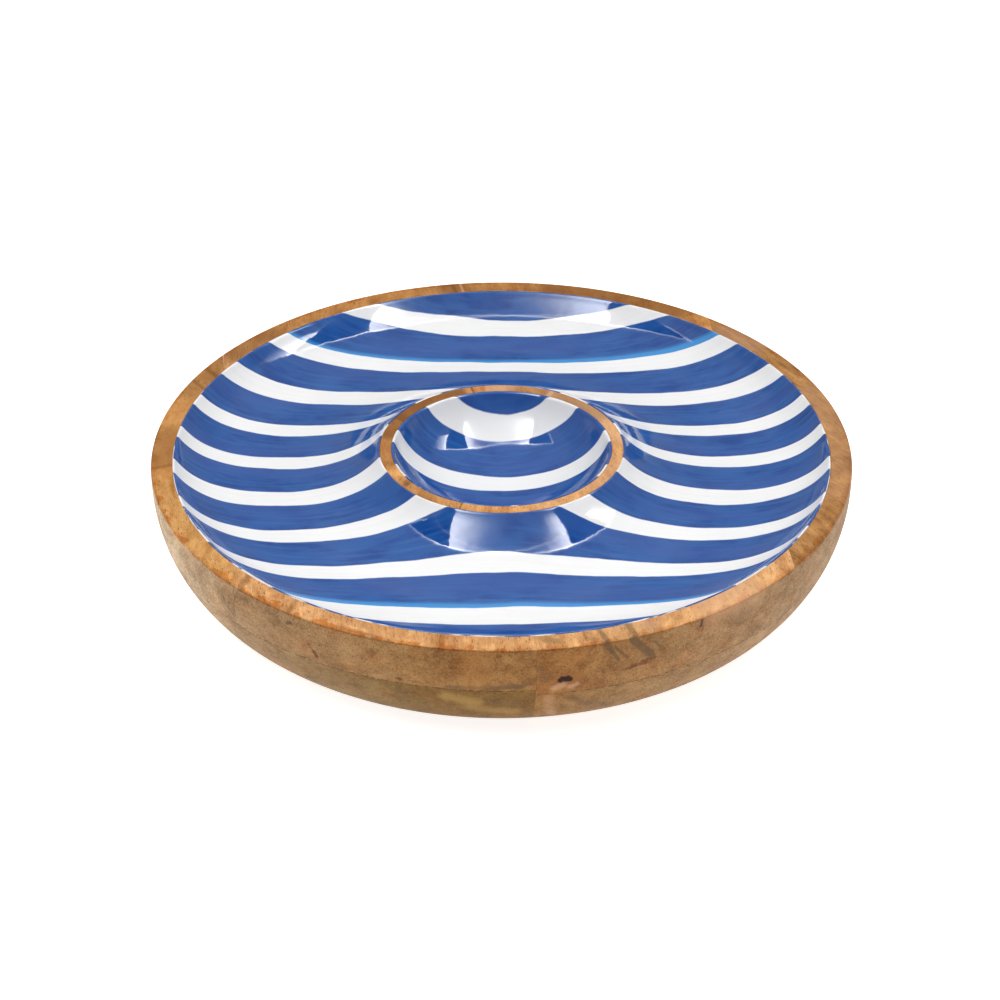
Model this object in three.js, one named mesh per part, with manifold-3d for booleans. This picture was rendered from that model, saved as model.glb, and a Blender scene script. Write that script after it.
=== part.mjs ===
// A round chip and dip server: one turned wooden blank with a ring-shaped trough for
// chips and a dip bowl in the middle, both lined with a glossy painted resin coat.
// The blank is glued up from boards in two courses. Millimetres, +Z up, the origin is
// the centre of the flat base, and -Y is the front.

import * as THREE from "three";
import { mergeVertices } from "three/addons/utils/BufferGeometryUtils.js";
import Module from "manifold-3d";

// Driving dimensions of the turned blank.
const OUTER_RADIUS = 178;
const HEIGHT = 63.5;
const BASE_RADIUS = 133;
const RIM_WIDTH = 10.9;
const RIM_EDGE_RADIUS = 2;
const UPRIGHT_BAND = 6;

// The ring-shaped trough and the dip bowl, measured on the coated surface.
const RING_OUTER_RADIUS = 62.2;
const RING_WIDTH = 5.9;
const TROUGH_FLOOR_RADIUS = 115;
const TROUGH_DEPTH = 20.3;
const BOWL_DEPTH = 30.6;

// The resin coat, and the clearance left between neighbouring pieces.
const COAT_THICKNESS = 1;
const GAP = 0.3;

// The glue-up: joints between board columns, measured across the grain from the axis,
// and the height of the glue line between the two courses in each column.
const GRAIN_TURN = THREE.MathUtils.degToRad(6);
const COLUMN_JOINTS = [-139.2, -2.5, 127.5];
const COLUMNS = [
  { name: "left_edge_board", course: 38.4, upper: 0xa8703c, lower: 0x8d7650 },
  { name: "left_board", course: 38.4, upper: 0xb57c45, lower: 0x8a734a },
  { name: "right_board", course: 35.2, upper: 0xba8350, lower: 0xa07c56 },
  { name: "right_edge_board", course: 35.2, upper: 0x94653a, lower: 0x9b7a5c },
];

// Mesh fineness.
const TURN_STEPS = 72;
const SIDE_STEPS = 8;
const EDGE_STEPS = 3;
const SLOPE_STEPS = 6;

// How each turned slope bends between its lip and its floor: the lip handle's run and
// drop and the floor handle's length, as parts of the slope's own span and depth.
const RING_SLOPE = { run: 0.19, drop: 0.65, flat: 0.47 };
const RIM_SLOPE = { run: 0.19, drop: 0.77, flat: 0.44 };
const BOWL_SLOPE = { run: 0.18, drop: 0.84, flat: 0.31 };

const RIM_INNER_RADIUS = OUTER_RADIUS - RIM_WIDTH;
const RING_INNER_RADIUS = RING_OUTER_RADIUS - RING_WIDTH;
const LIP = COAT_THICKNESS + GAP;

const wasm = await Module();
wasm.setup();

const point = (radius, height) => new THREE.Vector2(radius, height);

// The points of a slope that drops from a lip at the rim plane to a level floor.
function slopePoints(lipRadius, floorRadius, depth, shape) {
  const span = floorRadius - lipRadius;
  const floor = HEIGHT - depth;
  const curve = new THREE.CubicBezierCurve(
    point(lipRadius, HEIGHT),
    point(lipRadius + shape.run * span, HEIGHT - shape.drop * depth),
    point(floorRadius - shape.flat * span, floor),
    point(floorRadius, floor),
  );
  return curve.getPoints(SLOPE_STEPS);
}

// The coated surface of the trough, from the ring's lip out to the rim's lip.
function troughSurface() {
  const inner = slopePoints(RING_OUTER_RADIUS + LIP, TROUGH_FLOOR_RADIUS, TROUGH_DEPTH, RING_SLOPE);
  const outer = slopePoints(RIM_INNER_RADIUS - LIP, TROUGH_FLOOR_RADIUS, TROUGH_DEPTH, RIM_SLOPE);
  return [...inner, ...outer.reverse().slice(1)];
}

// The coated surface of the dip bowl, from the axis out to the ring's lip.
function bowlSurface() {
  const wall = slopePoints(RING_INNER_RADIUS - LIP, 0, BOWL_DEPTH, BOWL_SLOPE);
  return wall.reverse();
}

// A surface's points moved down into the wood along its normals. The first point of a
// surface that starts on the axis moves straight down.
function sunken(points, distance) {
  return points.map((here, i) => {
    const before = points[Math.max(i - 1, 0)];
    const after = points[Math.min(i + 1, points.length - 1)];
    const along = after.clone().sub(before).normalize();
    if (here.x === 0) along.set(1, 0);
    return point(here.x + along.y * distance, here.y - along.x * distance);
  });
}

// The profile of a coat: its underside, a lip as wide as the coat, and its surface. It
// starts and ends on the axis, or else closes on itself at an inner lip.
function coatProfile(surface) {
  const first = surface[0];
  const last = surface[surface.length - 1];
  const outerLip = point(last.x + COAT_THICKNESS, HEIGHT);
  const section = [...sunken(surface, COAT_THICKNESS), outerLip, ...surface.slice().reverse()];
  if (first.x === 0) return section;
  const innerLip = point(first.x - COAT_THICKNESS, HEIGHT);
  return [innerLip, ...section, innerLip];
}

// The profile of the whole turned blank, from the centre of the base round to the
// centre of the bowl's seat.
function blankProfile() {
  const bandFoot = HEIGHT - UPRIGHT_BAND;
  const side = new THREE.EllipseCurve(
    BASE_RADIUS,
    bandFoot,
    OUTER_RADIUS - BASE_RADIUS,
    bandFoot,
    -Math.PI / 2,
    0,
  );
  const edge = new THREE.EllipseCurve(
    OUTER_RADIUS - RIM_EDGE_RADIUS,
    HEIGHT - RIM_EDGE_RADIUS,
    RIM_EDGE_RADIUS,
    RIM_EDGE_RADIUS,
    0,
    Math.PI / 2,
  );
  return [
    point(0, 0),
    ...side.getPoints(SIDE_STEPS),
    ...edge.getPoints(EDGE_STEPS),
    point(RIM_INNER_RADIUS, HEIGHT),
    ...sunken(troughSurface(), LIP).reverse(),
    point(RING_OUTER_RADIUS, HEIGHT),
    point(RING_INNER_RADIUS, HEIGHT),
    ...sunken(bowlSurface(), LIP).reverse(),
  ];
}

// A solid of revolution about +Z from a profile of radius and height.
function revolve(profile) {
  const geometry = new THREE.LatheGeometry(profile, TURN_STEPS);
  geometry.rotateX(Math.PI / 2);
  return geometry;
}

// A closed geometry as a manifold-3d solid, and back again.
function toSolid(geometry) {
  const bare = geometry.clone();
  bare.deleteAttribute("normal");
  bare.deleteAttribute("uv");
  const merged = mergeVertices(bare, 1e-4);
  return new wasm.Manifold(
    new wasm.Mesh({
      numProp: 3,
      vertProperties: merged.attributes.position.array,
      triVerts: new Uint32Array(merged.index.array),
    }),
  );
}

function toGeometry(solid) {
  const mesh = solid.getMesh();
  const geometry = new THREE.BufferGeometry();
  geometry.setAttribute("position", new THREE.BufferAttribute(mesh.vertProperties, 3));
  geometry.setIndex(new THREE.BufferAttribute(mesh.triVerts, 1));
  geometry.computeVertexNormals();
  return geometry;
}

// The slab of space that one board fills: between two joints across the grain, and
// between two levels.
function boardSpace(left, right, bottom, top) {
  const length = 2 * OUTER_RADIUS + 10;
  const geometry = new THREE.BoxGeometry(right - left, length, top - bottom);
  geometry.translate((left + right) / 2, 0, (bottom + top) / 2);
  geometry.rotateZ(GRAIN_TURN);
  return geometry;
}

function woodMaterial(color) {
  return new THREE.MeshStandardMaterial({ color, roughness: 0.6, metalness: 0 });
}

function resinMaterial(color) {
  return new THREE.MeshStandardMaterial({ color, roughness: 0.12, metalness: 0 });
}

function namedMesh(name, geometry, material) {
  const mesh = new THREE.Mesh(geometry, material);
  mesh.name = name;
  return mesh;
}

// The boards of both courses, each cut out of the turned blank.
function boards() {
  const blank = toSolid(revolve(blankProfile()));
  const beyond = OUTER_RADIUS + 5;
  const edges = [-beyond, ...COLUMN_JOINTS, beyond];
  const group = new THREE.Group();
  COLUMNS.forEach((column, i) => {
    const left = edges[i] + GAP / 2;
    const right = edges[i + 1] - GAP / 2;
    const lowerSpace = boardSpace(left, right, -beyond, column.course - GAP / 2);
    const upperSpace = boardSpace(left, right, column.course + GAP / 2, beyond);
    const lower = toGeometry(blank.intersect(toSolid(lowerSpace)));
    const upper = toGeometry(blank.intersect(toSolid(upperSpace)));
    group.add(namedMesh(`lower_${column.name}`, lower, woodMaterial(column.lower)));
    group.add(namedMesh(`upper_${column.name}`, upper, woodMaterial(column.upper)));
  });
  return group;
}

// The two coats of painted resin.
function coats() {
  const group = new THREE.Group();
  const blue = 0x3a66b4;
  group.add(namedMesh("trough_coat", revolve(coatProfile(troughSurface())), resinMaterial(blue)));
  group.add(namedMesh("bowl_coat", revolve(coatProfile(bowlSurface())), resinMaterial(blue)));
  return group;
}

const server = new THREE.Group();
server.name = "chip_and_dip_server";
server.add(boards(), coats());

export default server;
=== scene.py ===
# Blender scene of a turned wooden chip and dip server: eight glued-up boards and two
# linings of glossy striped resin. Lengths are in metres in the CAD frame, with +Z up, the
# origin at the centre of the base and -Y at the front. Materials and the light count in
# millimetres.
import math

import bmesh
import bpy
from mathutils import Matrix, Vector, noise


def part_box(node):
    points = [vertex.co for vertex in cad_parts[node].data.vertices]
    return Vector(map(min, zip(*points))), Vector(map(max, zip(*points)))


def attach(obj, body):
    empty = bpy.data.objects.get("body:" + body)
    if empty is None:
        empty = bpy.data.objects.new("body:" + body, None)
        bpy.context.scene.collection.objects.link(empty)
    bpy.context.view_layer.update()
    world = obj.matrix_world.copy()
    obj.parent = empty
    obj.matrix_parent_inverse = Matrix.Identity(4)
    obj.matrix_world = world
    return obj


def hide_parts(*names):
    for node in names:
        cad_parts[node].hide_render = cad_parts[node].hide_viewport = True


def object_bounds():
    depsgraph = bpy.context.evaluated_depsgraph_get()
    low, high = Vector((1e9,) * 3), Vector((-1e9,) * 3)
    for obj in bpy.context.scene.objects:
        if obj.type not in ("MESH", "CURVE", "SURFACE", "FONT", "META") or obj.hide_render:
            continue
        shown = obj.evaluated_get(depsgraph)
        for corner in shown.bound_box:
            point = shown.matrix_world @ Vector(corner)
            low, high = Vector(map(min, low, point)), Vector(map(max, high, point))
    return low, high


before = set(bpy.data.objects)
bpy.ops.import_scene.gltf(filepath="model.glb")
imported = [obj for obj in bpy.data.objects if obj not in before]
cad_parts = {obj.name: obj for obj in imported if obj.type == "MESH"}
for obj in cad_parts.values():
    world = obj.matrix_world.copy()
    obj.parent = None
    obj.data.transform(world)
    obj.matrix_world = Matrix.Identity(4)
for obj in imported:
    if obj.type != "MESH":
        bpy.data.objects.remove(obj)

CAD_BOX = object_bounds()
MM = 0.001

# The turned shape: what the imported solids' boxes give, and the CAD part's other sizes, but
# with a crisper rim edge and gentler slopes. A slope is given by its curve's two handles, as
# shares of its width and its depth.
TROUGH_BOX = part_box("trough_coat")
BOWL_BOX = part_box("bowl_coat")
CLEARANCE = 0.3 * MM
COAT = 1 * MM
OUTER_RADIUS = CAD_BOX[1].x
HEIGHT = CAD_BOX[1].z
BASE_RADIUS = 133 * MM
RIM_EDGE_RADIUS = 1.5 * MM
UPRIGHT_BAND = 6 * MM
RING_WIDTH = 5.9 * MM
RIM_INNER_RADIUS = TROUGH_BOX[1].x + CLEARANCE
RING_INNER_RADIUS = BOWL_BOX[1].x + CLEARANCE
RING_OUTER_RADIUS = RING_INNER_RADIUS + RING_WIDTH
TROUGH_FLOOR_RADIUS = 115 * MM
TROUGH_FLOOR = TROUGH_BOX[0].z + COAT
BOWL_FLOOR = BOWL_BOX[0].z + COAT
RING_SLOPE = {"run": 0.22, "drop": 0.65, "flat": 0.47}
RIM_SLOPE = {"run": 0.22, "drop": 0.77, "flat": 0.44}
BOWL_SLOPE = {"run": 0.18, "drop": 0.84, "flat": 0.31}

# The glue-up, as in the CAD part.
GRAIN_TURN = math.radians(6)
COLUMN_JOINTS = (-139.2 * MM, -2.5 * MM, 127.5 * MM)
LEFT_COURSE = 38.4 * MM
RIGHT_COURSE = 35.2 * MM

# Mesh fineness: steps round a turn and along each part of a profile, the radius under which
# a point is on the axis, and the turn between two faces that makes their edge sharp.
TURN_STEPS = 288
SIDE_STEPS = 36
RIM_EDGE_STEPS = 8
WOOD_TROUGH_STEPS = 12
WOOD_BOWL_STEPS = 10
TROUGH_STEPS = 56
BOWL_STEPS = 64
UNDERSIDE_STEPS = 24
ON_AXIS = 1e-9
SMOOTH_ANGLE = math.radians(32)

# Small sizes of the finished look: half the joint between two pieces, the wood's depth under
# the coated surface, and the eased edges of the wood. The bead is the resin's raised edge at
# a lip: each of its points is a share of its width in from the lip, and a drop below the rim
# in millimetres.
SEAM = 0.05 * MM
WOOD_DEPTH = 1.2 * MM
EASED_EDGE = 0.4 * MM
BEAD_WIDTH = 1.5 * MM
BEAD_DROP = 0.95 * MM
BEAD_SHAPE = ((0, 0.3), (0.07, 0.14), (0.2, 0.05), (0.35, 0.06), (0.53, 0.19), (0.76, 0.5))


# ---------------- turned profiles

def bezier(corners, steps):
    """Points along the cubic Bezier curve with these four corners."""
    points = []
    for i in range(steps + 1):
        t = i / steps
        s = 1 - t
        weights = (s ** 3, 3 * s * s * t, 3 * s * t * t, t ** 3)
        radius = sum(w * c[0] for w, c in zip(weights, corners))
        height = sum(w * c[1] for w, c in zip(weights, corners))
        points.append((radius, height))
    return points


def slope(lip_radius, floor_radius, floor, shape, steps, bead=False):
    """A turned slope that drops from a lip at the rim plane to a level floor. A poured
    lining has a bead along its lip, where the resin clings to the wood."""
    start = lip_radius
    points = []
    if bead:
        inwards = math.copysign(1, floor_radius - lip_radius)
        start = lip_radius + inwards * BEAD_WIDTH
        for across, drop in BEAD_SHAPE:
            points.append((lip_radius + inwards * across * BEAD_WIDTH, HEIGHT - drop * MM))
    span = floor_radius - lip_radius
    depth = HEIGHT - floor
    corners = (
        (start, HEIGHT - BEAD_DROP),
        (lip_radius + shape["run"] * span, HEIGHT - shape["drop"] * depth),
        (floor_radius - shape["flat"] * span, floor),
        (floor_radius, floor),
    )
    return points + bezier(corners, steps)


def arc(centre, radii, start, end, steps):
    """Points on an ellipse's quarter or other stretch, between two angles in degrees."""
    points = []
    for i in range(steps + 1):
        angle = math.radians(start + (end - start) * i / steps)
        point = (centre[0] + radii[0] * math.cos(angle), centre[1] + radii[1] * math.sin(angle))
        points.append(point)
    return points


def trough_surface(steps, bead=False):
    """The trough's profile, from the ring's lip outwards to the rim's lip."""
    lips = (RING_OUTER_RADIUS + SEAM, RIM_INNER_RADIUS - SEAM)
    inner = slope(lips[0], TROUGH_FLOOR_RADIUS, TROUGH_FLOOR, RING_SLOPE, steps, bead)
    outer = slope(lips[1], TROUGH_FLOOR_RADIUS, TROUGH_FLOOR, RIM_SLOPE, steps, bead)
    return inner + outer[::-1][1:]


def bowl_surface(steps, bead=False):
    """The dip bowl's profile, from its centre out to the ring's lip."""
    return slope(RING_INNER_RADIUS - SEAM, 0, BOWL_FLOOR, BOWL_SLOPE, steps, bead)[::-1]


def sunken(points, distance, least, most):
    """A surface's points moved down along its normals, and kept between two radii."""
    moved = []
    for i, (radius, height) in enumerate(points):
        before = points[max(i - 1, 0)]
        after = points[min(i + 1, len(points) - 1)]
        along = Vector((after[0] - before[0], after[1] - before[1])).normalized()
        if radius == 0:
            along = Vector((1, 0))
        new_radius = min(max(radius + along.y * distance, least), most)
        moved.append((new_radius, height - along.x * distance))
    return moved


def wood_profile():
    """The whole turned blank, from the centre of the base round to the bowl's seat."""
    band_foot = HEIGHT - UPRIGHT_BAND
    side_radii = (OUTER_RADIUS - BASE_RADIUS, band_foot)
    side = arc((BASE_RADIUS, band_foot), side_radii, -90, 0, SIDE_STEPS)
    edge_centre = (OUTER_RADIUS - RIM_EDGE_RADIUS, HEIGHT - RIM_EDGE_RADIUS)
    edge = arc(edge_centre, (RIM_EDGE_RADIUS, RIM_EDGE_RADIUS), 0, 90, RIM_EDGE_STEPS)
    trough = trough_surface(WOOD_TROUGH_STEPS)
    trough = sunken(trough, WOOD_DEPTH, RING_OUTER_RADIUS, RIM_INNER_RADIUS)
    bowl = sunken(bowl_surface(WOOD_BOWL_STEPS), WOOD_DEPTH, 0, RING_INNER_RADIUS)
    ring_top = [
        (RING_OUTER_RADIUS, HEIGHT - EASED_EDGE),
        (RING_OUTER_RADIUS - EASED_EDGE, HEIGHT),
        (RING_INNER_RADIUS + EASED_EDGE, HEIGHT),
        (RING_INNER_RADIUS, HEIGHT - EASED_EDGE),
    ]
    rim_lip = [(RIM_INNER_RADIUS + EASED_EDGE, HEIGHT), (RIM_INNER_RADIUS, HEIGHT - EASED_EDGE)]
    return [(0, 0), *side, *edge, *rim_lip, *trough[::-1], *ring_top, *bowl[::-1]]


# ---------------- mesh building

def revolved(profile, closed):
    """A bmesh turned about +Z from a profile; its ends are on the axis unless closed."""
    mesh = bmesh.new()
    rings = []
    for radius, height in profile:
        if radius < ON_AXIS:
            rings.append([mesh.verts.new((0, 0, height))] * TURN_STEPS)
            continue
        ring = []
        for k in range(TURN_STEPS):
            angle = 2 * math.pi * k / TURN_STEPS
            ring.append(mesh.verts.new((radius * math.cos(angle), radius * math.sin(angle), height)))
        rings.append(ring)
    pairs = list(zip(rings, rings[1:]))
    if closed:
        pairs.append((rings[-1], rings[0]))
    for a, b in pairs:
        for k in range(TURN_STEPS):
            n = (k + 1) % TURN_STEPS
            corners = list(dict.fromkeys((a[k], a[n], b[n], b[k])))
            if len(corners) > 2:
                mesh.faces.new(corners)
    bmesh.ops.recalc_face_normals(mesh, faces=mesh.faces[:])
    return mesh


def keep_below(mesh, point, normal):
    """Cuts the mesh at a plane, drops what lies past it, and closes the cut."""
    everything = mesh.verts[:] + mesh.edges[:] + mesh.faces[:]
    cut = bmesh.ops.bisect_plane(
        mesh, geom=everything, plane_co=point, plane_no=normal, clear_outer=True
    )
    edges = [e for e in cut["geom_cut"] if isinstance(e, bmesh.types.BMEdge)]
    if edges:
        bmesh.ops.triangle_fill(mesh, edges=edges, use_beauty=True, normal=normal)


def finished(name, mesh):
    """The bmesh as a smooth object with crisp corners, linked to the scene."""
    bmesh.ops.recalc_face_normals(mesh, faces=mesh.faces[:])
    for face in mesh.faces:
        face.smooth = True
    data = bpy.data.meshes.new(name)
    mesh.to_mesh(data)
    mesh.free()
    data.set_sharp_from_angle(angle=SMOOTH_ANGLE)
    piece = bpy.data.objects.new(name, data)
    bpy.context.scene.collection.objects.link(piece)
    return piece


def board_mesh(blank, left, right, bottom, top):
    """One board cut from the turned blank, between two joints and two levels."""
    across = Vector((math.cos(GRAIN_TURN), math.sin(GRAIN_TURN), 0))
    up = Vector((0, 0, 1))
    mesh = blank.copy()
    if right is not None:
        keep_below(mesh, across * (right - SEAM), across)
    if left is not None:
        keep_below(mesh, across * (left + SEAM), -across)
    if top is not None:
        keep_below(mesh, up * (top - SEAM), up)
    if bottom is not None:
        keep_below(mesh, up * (bottom + SEAM), -up)
    return mesh


# ---------------- node graphs

class Graph:
    """A node tree with one short call for each kind of node that the looks need."""

    def __init__(self, tree):
        self.tree = tree
        self.tree.nodes.clear()

    def add(self, kind, **settings):
        """A new node with these settings."""
        node = self.tree.nodes.new(kind)
        for name, value in settings.items():
            setattr(node, name, value)
        return node

    def feed(self, socket, value):
        """Links the socket to another one, or sets its number, vector or colour."""
        if isinstance(value, bpy.types.NodeSocket):
            self.tree.links.new(value, socket)
        elif value is not None:
            socket.default_value = value

    def math(self, operation, a, b=None, c=None, clamp=False):
        """One step of arithmetic."""
        node = self.add("ShaderNodeMath", operation=operation, use_clamp=clamp)
        for socket, value in zip(node.inputs, (a, b, c)):
            self.feed(socket, value)
        return node.outputs[0]

    def vector(self, operation, a, b=None, scale=None):
        """Vector maths: the node's fourth input is the factor of SCALE."""
        node = self.add("ShaderNodeVectorMath", operation=operation)
        self.feed(node.inputs[0], a)
        self.feed(node.inputs[1], b)
        self.feed(node.inputs[3], scale)
        return node.outputs["Value" if operation in ("LENGTH", "DOT_PRODUCT") else "Vector"]

    def noise(self, place, stretch, detail=2, roughness=0.5, output="Fac"):
        """Fractal noise, stretched by its waves per millimetre along each axis."""
        node = self.add("ShaderNodeTexNoise")
        self.feed(node.inputs["Vector"], self.vector("MULTIPLY", place, stretch))
        self.feed(node.inputs["Scale"], 1)
        self.feed(node.inputs["Detail"], detail)
        self.feed(node.inputs["Roughness"], roughness)
        return node.outputs[output]

    def cells(self, place, stretch):
        """The distance to the nearest of scattered points, and that point's random colour."""
        node = self.add("ShaderNodeTexVoronoi")
        self.feed(node.inputs["Vector"], self.vector("MULTIPLY", place, stretch))
        self.feed(node.inputs["Scale"], 1)
        return node.outputs["Distance"], node.outputs["Color"]

    def remap(self, value, low, high, to_low=0.0, to_high=1.0, smooth=True):
        """The value carried from one range to another and kept inside it."""
        kind = "SMOOTHSTEP" if smooth else "LINEAR"
        node = self.add("ShaderNodeMapRange", interpolation_type=kind)
        for socket, number in zip(node.inputs, (value, low, high, to_low, to_high)):
            self.feed(socket, number)
        return node.outputs[0]

    def mix(self, factor, a, b, mode="MIX"):
        """Two colours mixed: a colour pair is in the node's inputs 6 and 7."""
        node = self.add("ShaderNodeMix", data_type="RGBA", blend_type=mode)
        self.feed(node.inputs[0], factor)
        self.feed(node.inputs[6], a if isinstance(a, bpy.types.NodeSocket) else (*a, 1))
        self.feed(node.inputs[7], b if isinstance(b, bpy.types.NodeSocket) else (*b, 1))
        return node.outputs[2]

    def split(self, place):
        """The X, Y and Z parts of a vector, or the three channels of a colour."""
        node = self.add("ShaderNodeSeparateXYZ")
        self.feed(node.inputs[0], place)
        return node.outputs

    def centred(self, noise_colour):
        """A noise's colour as a vector that wanders round zero."""
        return self.vector("SUBTRACT", noise_colour, (0.5, 0.5, 0.5))

    def place(self):
        """The point being shaded, in the CAD frame, in millimetres."""
        point = self.add("ShaderNodeTexCoord").outputs["Object"]
        return self.vector("SCALE", point, scale=1 / MM)

    def surface(self, colour, roughness, height, bump_mm, **numbers):
        """The closing Principled shader, with bump from a relief pattern."""
        shader = self.add("ShaderNodeBsdfPrincipled")
        bump = self.add("ShaderNodeBump")
        self.feed(bump.inputs["Distance"], bump_mm * MM)
        self.feed(bump.inputs["Height"], height)
        self.feed(shader.inputs["Base Color"], colour)
        self.feed(shader.inputs["Roughness"], roughness)
        self.feed(shader.inputs["Normal"], bump.outputs[0])
        for name, number in numbers.items():
            self.feed(shader.inputs[name.replace("_", " ")], number)
        output = self.add("ShaderNodeOutputMaterial")
        self.feed(output.inputs["Surface"], shader.outputs[0])


def new_material(name):
    """A material with an empty node tree, and the graph that fills it."""
    material = bpy.data.materials.new(name)
    material.use_nodes = True
    return material, Graph(material.node_tree)


# ---------------- mango wood

# Colours of the marks, and tints that the wood is multiplied by.
GLUE = (0.05, 0.028, 0.014)
KNOT = (0.028, 0.012, 0.008)
STAIN = (0.13, 0.08, 0.04)
DUN = (0.38, 0.21, 0.105)
RED_MARK = (0.13, 0.045, 0.02)
HALO = (0.3, 0.11, 0.03)
PALE = (0.66, 0.38, 0.22)
GOLD = (0.42, 0.25, 0.07)
BROWN = (0.19, 0.068, 0.016)
ORANGE = (0.5, 0.21, 0.055)
EDGE_WEAR = (0.8, 0.48, 0.21)
RING_TINT = (0.98, 0.9, 0.74)
BACK_TINT = (0.96, 0.86, 0.62)
# A tint that darkens the side towards its middle.
MIDDLE_DARKENING = (0.96, 0.87, 0.74)
# Painted sheen: lightens and greys the side's left end, as the white surroundings reflected there.
LEFT_SHEEN = (1.58, 1.85, 2.25)
WARM_TINT = (1.12, 0.93, 0.78)

# Noise patterns. A stretch is in waves per millimetre: across the grain, along it and
# upwards for the wood itself, and along X, Y and Z for marks, wear and glue.
DRIFT = {"stretch": (0.02, 0.007, 0.02), "detail": 2}
STREAKS = {"stretch": (0.4, 0.014, 0.4), "detail": 4, "roughness": 0.65}
FIBRES = {"stretch": (2.4, 0.1, 2.4), "detail": 3, "roughness": 0.7}
MOTTLE = {"stretch": (0.07, 0.045, 0.07), "detail": 4, "roughness": 0.6}
FLAME = {"stretch": (0.16, 0.09, 0.16), "detail": 3, "roughness": 0.6}
GRIT = {"stretch": (1.1, 0.4, 1.1), "detail": 3, "roughness": 0.75}
SPECKS = {"stretch": (1.3, 0.45, 1.3), "detail": 2, "roughness": 0.8}
WARM_CLOUDS = {"stretch": (0.11, 0.05, 0.11), "detail": 2}
PORE_STRETCH = (0.9, 0.2, 0.9)
RAGGED_EDGE = {"stretch": (0.6, 0.6, 0.6), "detail": 4, "roughness": 0.65}
RUBBING = {"stretch": (0.12, 0.12, 0.12), "detail": 4, "roughness": 0.65}
GLUE_GAPS = {"stretch": (0.5, 0.5, 1.2), "detail": 4, "roughness": 0.7}

# How strongly each pattern moves the tone, which runs from dark at 0 to light at 1.
MIDDLE_TONE = 0.5
RING_CONTRAST = 0.05
STREAK_CONTRAST = 0.8
FIBRE_CONTRAST = 0.6
MOTTLE_CONTRAST = 1.25
FLAME_CONTRAST = 1.3
GRIT_CONTRAST = 2.0

# How far the grain drifts sideways, in millimetres, and how far each step of a board's seed
# shifts its patterns, so that no two boards are alike.
DRIFT_MM = 26
SEED_STEP = (61.0, 113.0, 37.0)

# Where each look starts and where it is full: by the normal's upward part, by millimetres
# from the middle, along X or Y or out from the axis, or by the value of its pattern.
UPRIGHT_NORMAL = (0.75, 0.4)
# The side's pale ends, partly painted sheen, reach out from the middle this far.
PALE_ENDS_AND_SHEEN_REACH = (25, 185)
MIDDLE_DARKENING_REACH = (62, 15)
# Where the painted sheen on the side's left end starts and where it is full.
LEFT_SHEEN_REACH = (-122, -167)
RING_REACH = (80, 70)
RING_TINT_REACH = (30, 0)
RING_TINT_LEAST = 0.2
BACK_REACH = (70, 150)
WARM_REACH = (0.48, 0.68)
WARM_STRENGTH = 0.5
PORE_CHOICE = (0.42, 0.6)
PORE_REACH = (0.34, 0.12)
PORE_STRENGTH = 0.55
SPECK_REACH = (0.56, 0.7)
SPECK_STRENGTH = 0.8
SPECK_DEPTH = 0.6

# The rubbed outer edge of the rim: how far in it reaches, how its inner side fades, and how
# far below the rim it ends. The glue line: half its width, and how its edges fade.
RUBBING_RANGE = (0.4, 0.66)
RUBBING_WIDTH = (0, 5)
RUBBING_FADE = (-0.6, 1.4)
RUBBING_DROP = (1.9, 0.9)
GLUE_RANGE = (0.44, 0.6)
GLUE_HALF_WIDTH = (-0.05, 0.34)
GLUE_FADE = (-0.12, 0.06)
GLUE_STRENGTH = 0.8

# A mark's edge wanders by a share of its half width, within limits in millimetres.
RAGGED_SHARE = 1.7
RAGGED_LIMITS = (1.6, 6)
SHORTEST_STROKE = 0.1

# The oiled surface.
FIBRE_RANGE = (0.3, 0.7)
WOOD_ROUGHNESS = (0.5, 0.66)
FIBRE_RELIEF = 0.5
WOOD_RELIEF_MM = 0.14
WOOD_IOR = 1.45
WOOD_SHINE = 0.12


def on_side(degrees, height_mm):
    """The point on the server's side at an angle from +X and a height over the base."""
    band_foot = (HEIGHT - UPRIGHT_BAND) / MM
    drop = max(0, band_foot - height_mm) / band_foot
    reach = math.sqrt(1 - drop * drop) * (OUTER_RADIUS - BASE_RADIUS)
    radius = (BASE_RADIUS + reach) / MM
    angle = math.radians(degrees)
    return (radius * math.cos(angle), radius * math.sin(angle), height_mm)


def on_top(degrees, radius_mm):
    """The point on the rim plane at an angle from +X and a radius."""
    angle = math.radians(degrees)
    return (radius_mm * math.cos(angle), radius_mm * math.sin(angle), HEIGHT / MM)


def add_marks(graph, colour, place, marks):
    """Knots, stains and streaks: each a ragged stroke between two points, with its half
    width in millimetres, the softness of its edge, its tint and its strength."""
    ragged = graph.centred(graph.noise(place, **RAGGED_EDGE, output="Color"))
    for start, end, half_width, soft, tint, strength in marks:
        wander = min(max(RAGGED_SHARE * half_width, RAGGED_LIMITS[0]), RAGGED_LIMITS[1])
        shift = graph.vector("SCALE", ragged, scale=wander)
        offset = graph.vector("ADD", graph.vector("SUBTRACT", place, start), shift)
        stroke = tuple(e - s for s, e in zip(start, end))
        squared_length = max(sum(c * c for c in stroke), SHORTEST_STROKE ** 2)
        along = graph.vector("DOT_PRODUCT", offset, stroke)
        along = graph.math("DIVIDE", along, squared_length, clamp=True)
        nearest = graph.vector("SCALE", stroke, scale=along)
        reach = graph.vector("LENGTH", graph.vector("SUBTRACT", offset, nearest))
        inner = half_width * (1 - soft)
        cover = graph.remap(reach, half_width * (1 + soft), inner, 0, strength)
        colour = graph.mix(cover, colour, tint)
    return colour


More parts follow.
